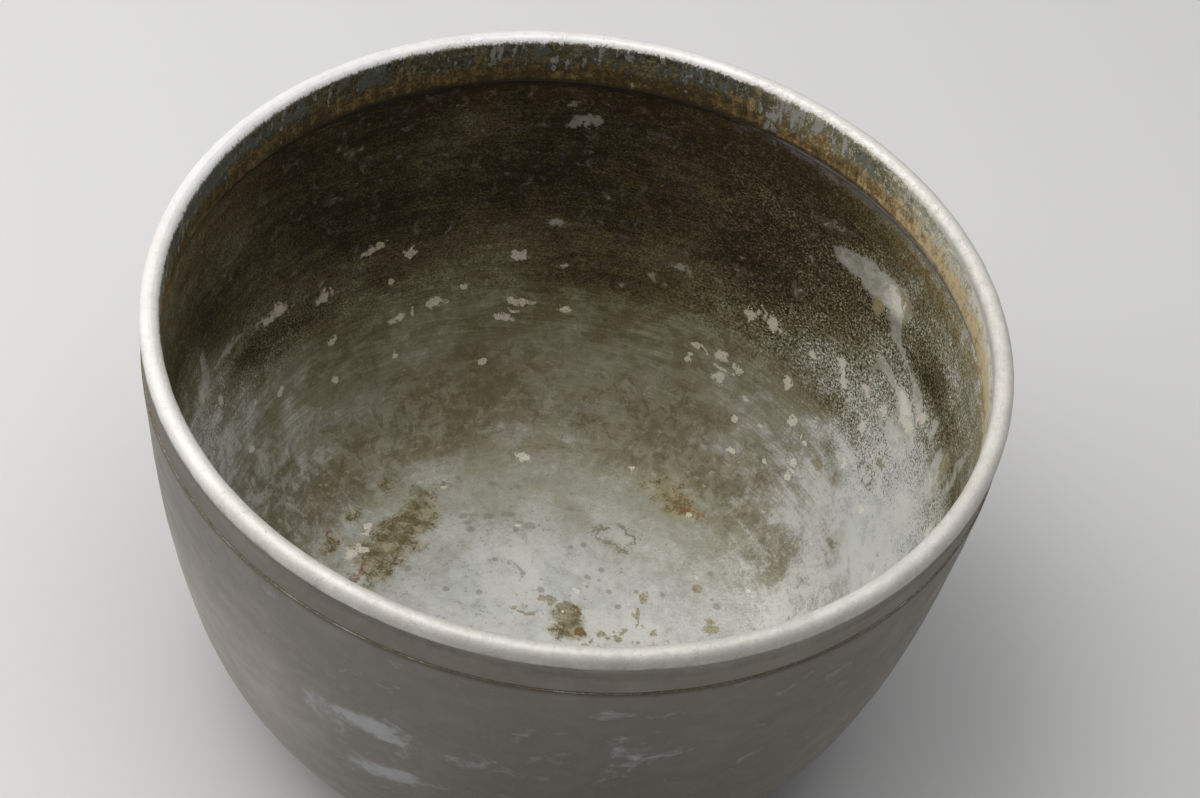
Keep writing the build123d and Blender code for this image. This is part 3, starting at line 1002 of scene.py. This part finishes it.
stroke = rim.around(drips, (mottle, 0.5), (grit, 0.25))
stroke = rim.sum("MULTIPLY_ADD", rim.field("strokes"), 0.11, stroke)
stroke = rim.step(stroke, 0.60, 0.66)
stroke = rim.sum("MULTIPLY", stroke, rim.step(rim.around(level, (patches, 20)), 82.2, 84.6))
stroke_colour = rim.tones(rim.field("smoke_and_shade"), (0.1, (0.62, 0.60, 0.54)), (0.8, (0.30, 0.30, 0.26)))
band_colour = rim.coat(rim.sum("MULTIPLY", stroke, 0.8), band_colour, stroke_colour)

foot_line = rim.step(rim.around(level, (patches, 2.5)), 80.55, 79.95)
foot_line = rim.sum("MULTIPLY", foot_line, rim.field("black_foot"))
band_colour = rim.coat(foot_line, band_colour, (0.026, 0.018, 0.008))

# The cove's tone carries the painted shade under the lip.
cove_colour = rim.tones(
    rim.around(rim.field("smoke_and_shade"), (lumps, 0.4), (patches, 0.4), (streaks, 0.5), (mottle, 0.3)),
    (0.0, (0.340, 0.315, 0.265)),
    (0.5, (0.200, 0.184, 0.155)),
    (1.0, (0.105, 0.096, 0.082)),
)
strip = rim.step(level, 84.4, 83.4)
cove_colour = rim.coat(rim.sum("MULTIPLY", strip, 0.4), cove_colour, (0.150, 0.130, 0.104))
rim_colour = rim.coat(inner, cove_colour, band_colour)

# The lip is worn bright down to a ragged edge inside, and fades into the cove outside.
wear_and_highlight = rim.field("wear_and_highlight")
inner_edge = rim.step(rim.field("smoke_and_shade"), 0.05, 0.5, 86.6, 88.95)
torn_edge = rim.around(level, (drips, 1.0), (mottle, 1.4), (grit, 1.2))
bright_in = rim.step(rim.sum("SUBTRACT", torn_edge, inner_edge), -0.3, 0.3)
# Where the bright lip ends outside is partly painted light, set by heading.
above_foot = rim.around(level, (patches, 2.0), (mottle, 1.0))
above_foot = rim.sum("SUBTRACT", above_foot, rim.field("wear_and_light_foot"))
bright_out = rim.step(above_foot, -0.8, 0.8)
bright_in = rim.sum("MULTIPLY", inner, bright_in)
bright = rim.sum("MULTIPLY_ADD", rim.step(inner, 1, 0), bright_out, bright_in)
# The bright lip's colour: painted highlight at the back and on the left, painted shade on the near side.
polish = rim.around(wear_and_highlight, (lumps, 0.4), (patches, 0.4), (mottle, 0.4), (grit, 0.3))
bright_colour = rim.tones(
    polish,
    (0.1, (0.36, 0.345, 0.30)),
    (0.5, (0.54, 0.52, 0.475)),
    (0.95, (0.69, 0.675, 0.66)),
)
rim.lay(rim.shader.inputs["Base Color"], rim.coat(bright, rim_colour, bright_colour))
rim.lay(rim.shader.inputs["Metallic"], rim.step(bright, 0, 1, 0.12, 0.22))
rim.shader.inputs["Specular IOR Level"].default_value = 0.35
rim.lay(rim.shader.inputs["Roughness"], rim.step(rim.around(bright, (grit, 0.8)), 0, 1, 0.70, 0.52))
scratched = rim.sum("MULTIPLY", drips, rim.step(bright, 0, 1, 1.0, 0.15))
rim.grain((mottle, 0.012), (grit, 0.008), (stroke, 0.04), (scratched, 0.08), (bright, -0.03))
ring.data.materials.append(rim.metal)
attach(ring, "root")
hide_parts("rim_ring")


# The solder: soft solder run into the step between ring and shell. Inside the bowl it
# stands as a low, uneven bead under the ring's skirt.
bead_radius = 0.6 * MM
bead_centre = (72.1 * MM, 0, 78.9 * MM)
bead_back = 71.93 * MM

bpy.ops.mesh.primitive_circle_add(
    vertices=20, radius=bead_radius, location=bead_centre, rotation=(math.pi / 2, 0, 0)
)
solder = bpy.context.object
solder.name = "solder_seam"
solder.data.name = "solder_seam"
bpy.ops.object.transform_apply(location=True, rotation=True, scale=True)
bpy.ops.object.mode_set(mode="EDIT")
bpy.ops.mesh.select_all(action="SELECT")
bpy.ops.mesh.bisect(plane_co=(bead_back, 0, 0), plane_no=(1, 0, 0), clear_outer=True)
bead_ends = [v.co.copy() for v in bmesh.from_edit_mesh(solder.data).verts]
bead_foot = min(bead_ends, key=lambda end: end.z)
bead_top = max(bead_ends, key=lambda end: end.z)
draw_on(
    solder,
    bead_top,
    [
        (bead_back, skirt_z),
        (skirt_radius, skirt_z),
        (skirt_radius, ring_seat_z),
        (cove_end.x, ring_seat_z),
        (cove_end.x, shoulder_z),
        (tongue_radius, shoulder_z),
        (tongue_radius, lap_seat_z),
        (bead_back + 0.06 * MM, lap_seat_z),
        (bead_foot.x, bead_foot.z),
    ],
)
bpy.ops.mesh.select_all(action="SELECT")
bpy.ops.mesh.remove_doubles(threshold=0.001 * MM)
lathe(solder, steps=360)
bpy.ops.object.mode_set(mode="OBJECT")
bpy.ops.object.shade_smooth_by_angle(angle=math.radians(35))

# The bead is blackened with the rest of the wall, except on the right.
x, y, z = places(solder)
dent(solder, (72 - np.hypot(x, y)) / 0.4, 2.5, 0.3)
heading = np.degrees(np.arctan2(y, x)) % 360
clean = np.interp(heading, (8, 20, 60, 68, 76, 300, 360), (0.45, 0.7, 0.75, 0.5, 0, 0, 0.4))
clean[np.hypot(x, y) > 73.0] = 0.55
paint(solder, "clean", clean)

lead = Finish("soft_solder")
patches = lead.cloud(5, detail=6, rough=0.65)
mottle = lead.cloud(0.9, detail=4, rough=0.66, shift=3.3)
lead_colour = lead.tones(
    lead.around(lead.field("clean"), (patches, 1.0), (mottle, 1.0)),
    (0.05, (0.022, 0.014, 0.006)),
    (0.40, (0.070, 0.056, 0.042)),
    (0.75, (0.155, 0.142, 0.146)),
)
lead.lay(lead.shader.inputs["Base Color"], lead_colour)
lead.shader.inputs["Metallic"].default_value = 0.15
lead.shader.inputs["Specular IOR Level"].default_value = 0.3
lead.lay(lead.shader.inputs["Roughness"], lead.step(mottle, 0.3, 0.7, 0.5, 0.7))
lead.grain((mottle, 0.10), (patches, 0.10))
solder.data.materials.append(lead.metal)
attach(solder, "root")
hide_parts("rim_solder")
